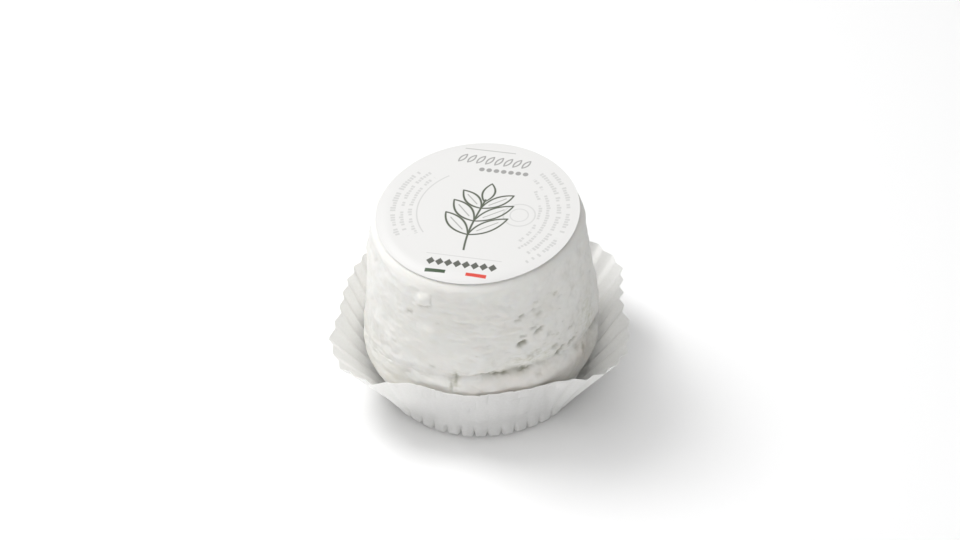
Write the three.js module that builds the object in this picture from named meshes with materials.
// A small soft-ripened goat's cheese in a pleated paper cup, with a round paper label on top.
// Millimetres, +Z up. The origin is the middle of the cup's underside, and the viewer is towards -Y.
// Azimuth is the angle about +Z from +X, so -90 degrees is the side that faces the viewer.
import * as THREE from "three";

const DEGREE = Math.PI / 180;

// The cheese: two tiers, pinched by a crease where they meet. Heights are above its own foot.
const CHEESE = {
  height: 57, // foot to the middle of the top
  footRadius: 26.6, // where the foot's corner has turned into the flank
  footCorner: 2.4,
  flankBelly: 0.55, // how far out the flank has come halfway up
  tierRadius: 32.3, // widest part of the lower tier
  tierDrop: 5, // from the crease down to the widest part
  creaseHeight: 22, // mean height of the crease
  creaseRadius: 31.1,
  lip: 0.3, // share of the drop in which the tier turns in to the crease
  drumRise: 3, // from the crease up to the foot of the upper drum
  drumRadius: 31.8, // foot of the upper drum
  topRadius: 28.6, // upper drum where the shoulder starts
  shoulder: 5, // radius of the round between side and top
  topTilt: 3.5 * DEGREE, // the top leans down towards -X
  topShiftX: -1, // and has slumped a little that way
};

// The crease wanders up and down round the cheese.
const CREASE_WAVES = [
  { turns: 1, height: 3.6, crest: -54 * DEGREE },
  { turns: 2, height: 2.4, crest: -78 * DEGREE },
];

// The label: stiff enough to stay flat over its right edge, settled onto the shoulder at the left.
const LABEL = {
  radius: 27,
  thickness: 0.3,
  drapeTowards: -150 * DEGREE,
  drape: 0.85, // share of the shoulder's fall that the lowest edge follows
};

// The cup: a round of paper with a flat base and a pleated wall that has sprung open in places.
const CUP = {
  wall: 25, // from the base's edge to the rim, along the paper
  thickness: 0.4,
  pleats: 48,
  pleatDepthBase: 0.9, // ridge to valley, across the wall
  pleatDepthRim: 1.2,
  footMargin: 1.4, // from the cheese's foot out to the base's edge
};
const CUP_FLARES = [
  { towards: -150 * DEGREE, lean: 15.5 * DEGREE, spread: 25 * DEGREE },
  { towards: -27 * DEGREE, lean: 16.5 * DEGREE, spread: 26 * DEGREE },
  { towards: 28 * DEGREE, lean: 13.5 * DEGREE, spread: 18 * DEGREE },
];

const CLEARANCE = 0.3; // between pieces that touch

const CHEESE_SEGMENTS = 72;
const CURVE_STEPS = 6;
const LABEL_SEGMENTS = 64;
const LABEL_EDGE_RINGS = 4; // across the part that can drape
const CUP_SEGMENTS = 2 * CUP.pleats; // a ridge and a valley to each pleat
const WALL_RINGS = 4;

const cupBaseRadius = CHEESE.footRadius + CUP.footMargin;
const cheeseFoot = CUP.thickness + CLEARANCE;
const cheeseTop = cheeseFoot + CHEESE.height;
const creaseZ = cheeseFoot + CHEESE.creaseHeight;
const drumZ = creaseZ + CHEESE.drumRise;
const shoulderZ = cheeseTop - CHEESE.shoulder;

// How far the upper drum's side leans in from upright, and the flat part of the top that this leaves.
const drumLean = Math.atan2(CHEESE.drumRadius - CHEESE.topRadius, shoulderZ - drumZ);
const shoulderTurn = Math.PI / 2 - drumLean;
const flatTopRadius = CHEESE.topRadius - CHEESE.shoulder * Math.sin(shoulderTurn);

const smooth = (low, high, value) => THREE.MathUtils.smoothstep(value, low, high);

// Evenly spaced values from start to end, both included.
function evenSteps(start, end, steps) {
  return Array.from({ length: steps + 1 }, (_, i) => THREE.MathUtils.lerp(start, end, i / steps));
}

function material(color, roughness) {
  return new THREE.MeshStandardMaterial({ color, roughness, metalness: 0 });
}

// The signed difference of two azimuths, within half a turn either way.
function turnBetween(azimuth, from) {
  return THREE.MathUtils.euclideanModulo(azimuth - from + Math.PI, 2 * Math.PI) - Math.PI;
}

// Spins a profile of (radius, height) points about +Z, then moves each point by
// place(radius, height, azimuth), which gives its final [x, y, z].
function spun(profile, segments, place) {
  const geometry = new THREE.LatheGeometry(profile, segments);
  geometry.rotateX(Math.PI / 2);
  geometry.deleteAttribute("normal");
  geometry.deleteAttribute("uv");
  const points = geometry.getAttribute("position");
  for (let i = 0; i < points.count; i++) {
    // A lathe's points run column by column, so the column gives the exact azimuth.
    const column = Math.floor(i / profile.length) % segments;
    const azimuth = (2 * Math.PI * column) / segments;
    const { x: radius, y: height } = profile[i % profile.length];
    points.setXYZ(i, ...place(radius, height, azimuth, column));
  }
  geometry.computeVertexNormals();
  return geometry;
}

function polar(radius, azimuth, z) {
  return [radius * Math.cos(azimuth), radius * Math.sin(azimuth), z];
}

// A point on the outline from the middle of the top over the shoulder and down the side, at a
// distance along the outline, lifted off it at right angles.
function overShoulder(distance, lift) {
  const turn = (distance - flatTopRadius) / CHEESE.shoulder;
  if (turn <= 0) {
    return new THREE.Vector2(distance, cheeseTop + lift);
  }
  const angle = Math.min(turn, shoulderTurn);
  const reach = CHEESE.shoulder + lift;
  const down = Math.max(turn - shoulderTurn, 0) * CHEESE.shoulder;
  return new THREE.Vector2(
    flatTopRadius + reach * Math.sin(angle) + down * Math.sin(drumLean),
    shoulderZ + reach * Math.cos(angle) - down * Math.cos(drumLean),
  );
}

// The lower tier's outline: from the middle of the foot, up the flank, in to the crease and out
// to the foot of the upper drum.
function tierOutline() {
  const { footRadius, footCorner, flankBelly, tierRadius, tierDrop, creaseRadius } = CHEESE;
  const tierZ = creaseZ - tierDrop;
  const lipZ = creaseZ - tierDrop * CHEESE.lip;
  const flankLean = (tierRadius - footRadius) / (tierZ - cheeseFoot);
  const outline = new THREE.Path();
  outline.moveTo(0, cheeseFoot);
  outline.lineTo(footRadius - footCorner, cheeseFoot);
  outline.quadraticCurveTo(
    footRadius,
    cheeseFoot,
    footRadius + footCorner * flankLean,
    cheeseFoot + footCorner,
  );
  outline.bezierCurveTo(
    THREE.MathUtils.lerp(footRadius, tierRadius, flankBelly),
    (cheeseFoot + tierZ) / 2,
    tierRadius,
    tierZ - tierDrop,
    tierRadius,
    tierZ,
  );
  outline.bezierCurveTo(tierRadius, lipZ, creaseRadius, lipZ, creaseRadius, creaseZ);
  outline.quadraticCurveTo(creaseRadius, (creaseZ + drumZ) / 2, CHEESE.drumRadius, drumZ);
  const points = outline.getPoints(CURVE_STEPS);
  return points.filter((point, i) => i === 0 || !point.equals(points[i - 1]));
}

// The upper drum's outline above its foot: up the side, over the shoulder and in to the middle of the top.
function drumOutline() {
  const shoulderEnd = flatTopRadius + CHEESE.shoulder * shoulderTurn;
  const side = Math.hypot(CHEESE.drumRadius - CHEESE.topRadius, shoulderZ - drumZ);
  const upSide = evenSteps(shoulderEnd + side, shoulderEnd, CURVE_STEPS);
  const overTop = evenSteps(shoulderEnd, flatTopRadius, CURVE_STEPS);
  const distances = [...upSide, ...overTop.slice(1), flatTopRadius / 2, 0];
  return distances.map((distance) => overShoulder(distance, 0)).slice(1);
}

// How far the crease, and the flesh near it, rises or falls at an azimuth.
function creaseShift(z, azimuth) {
  const wave = CREASE_WAVES.reduce(
    (sum, { turns, height, crest }) => sum + height * Math.cos(turns * (azimuth - crest)),
    0,
  );
  const near = z < creaseZ ? smooth(cheeseFoot, creaseZ, z) : 1 - smooth(creaseZ, shoulderZ, z);
  return wave * near;
}

// Where a point goes when the upper drum slumps sideways and its top leans: fully above the
// shoulder's start, and not at all below the crease.
function leaned(x, y, z) {
  const share = smooth(creaseZ, shoulderZ, z);
  return [x + CHEESE.topShiftX * share, y, z + x * Math.tan(CHEESE.topTilt) * share];
}

function placeOnCheese(radius, z, azimuth) {
  const [x, y, leanedZ] = leaned(...polar(radius, azimuth, z));
  return [x, y, leanedZ + creaseShift(z, azimuth)];
}

function cheeseGeometry() {
  return spun([...tierOutline(), ...drumOutline()], CHEESE_SEGMENTS, placeOnCheese);
}

// A flat round of paper: rings of points on its underside and its upper side.
function paperRound(rings, thickness) {
  const under = rings.map((distance) => new THREE.Vector2(distance, 0));
  const upper = rings.map((distance) => new THREE.Vector2(distance, thickness));
  return [...under, ...upper.reverse()];
}

// How closely the label follows the shoulder: most at one side and not at all opposite.
function drapeAt(azimuth) {
  return LABEL.drape * smooth(-1, 1, Math.cos(azimuth - LABEL.drapeTowards));
}

function placeOnLabel(distance, height, azimuth) {
  const lift = CLEARANCE + height;
  const draped = overShoulder(distance, lift);
  const flat = new THREE.Vector2(distance, cheeseTop + lift);
  const { x: radius, y: z } = flat.lerp(draped, drapeAt(azimuth));
  return leaned(...polar(radius, azimuth, z));
}

// The rings are closest together where the label can drape.
function labelGeometry() {
  const flat = Math.min(flatTopRadius, LABEL.radius - CHEESE.shoulder / 2);
  const edge = evenSteps(flat, LABEL.radius, LABEL_EDGE_RINGS);
  return spun(paperRound([0, flat / 2, ...edge], LABEL.thickness), LABEL_SEGMENTS, placeOnLabel);
}

// Ridge-to-valley depth of the pleats at a distance up the wall.
function pleatDepth(up) {
  return THREE.MathUtils.lerp(CUP.pleatDepthBase, CUP.pleatDepthRim, up / CUP.wall);
}

// The lean from upright at which the wall just clears the cheese at an azimuth. Measured across,
// a leaning wall takes up more than its thickness: as much more as its length is more than its height.
function leanToClear(azimuth, flank) {
  const leans = flank.map(({ x: radius, y: height }) => {
    const z = placeOnCheese(radius, height, azimuth)[2];
    const across = radius - cupBaseRadius;
    const up = Math.hypot(across, z);
    const wallAcross = ((CUP.thickness + CLEARANCE) * up) / z;
    return Math.atan2(across + wallAcross + pleatDepth(up) / 2, z);
  });
  return Math.max(...leans);
}

// How far the wall has sprung open past that lean.
function flareAt(azimuth) {
  return CUP_FLARES.reduce((sum, { towards, lean, spread }) => {
    const away = turnBetween(azimuth, towards) / spread;
    return sum + lean * Math.exp(-away * away);
  }, 0);
}

// Folds the flat round up into the cup: the middle stays flat and the rest becomes the pleated wall.
function cupGeometry() {
  const { wall, thickness, pleats } = CUP;
  const flank = tierOutline().filter(({ y }) => y > cheeseFoot && y < creaseZ);
  const leans = Array.from({ length: pleats }, (_, pleat) => {
    const azimuth = (2 * Math.PI * pleat) / pleats;
    return leanToClear(azimuth, flank) + flareAt(azimuth);
  });
  const leanOf = (column) => {
    const pleat = Math.floor(column / 2);
    return column % 2 ? (leans[pleat] + leans[(pleat + 1) % pleats]) / 2 : leans[pleat];
  };
  const wallRings = evenSteps(cupBaseRadius, cupBaseRadius + wall, WALL_RINGS);
  const rings = [0, cupBaseRadius - CHEESE.footCorner, ...wallRings];
  const place = (distance, height, azimuth, column) => {
    const up = distance - cupBaseRadius;
    const fold = (column % 2 ? -0.5 : 0.5) * pleatDepth(Math.max(up, 0));
    if (up < 0) {
      return polar(distance, azimuth, height);
    }
    if (up === 0) {
      return polar(cupBaseRadius + fold - height, azimuth, height);
    }
    const lean = leanOf(column);
    const radius = cupBaseRadius + up * Math.sin(lean) - height * Math.cos(lean) + fold;
    return polar(radius, azimuth, up * Math.cos(lean) + height * Math.sin(lean));
  };
  return spun(paperRound(rings, thickness), CUP_SEGMENTS, place);
}

function named(name, geometry, look) {
  const mesh = new THREE.Mesh(geometry, look);
  mesh.name = name;
  return mesh;
}

const part = new THREE.Group();
part.add(named("cheese", cheeseGeometry(), material(0xe6e3da, 0.7)));
part.add(named("paper_label", labelGeometry(), material(0xf2f1ee, 0.6)));
part.add(named("paper_cup", cupGeometry(), material(0xeceae4, 0.8)));

export default part;
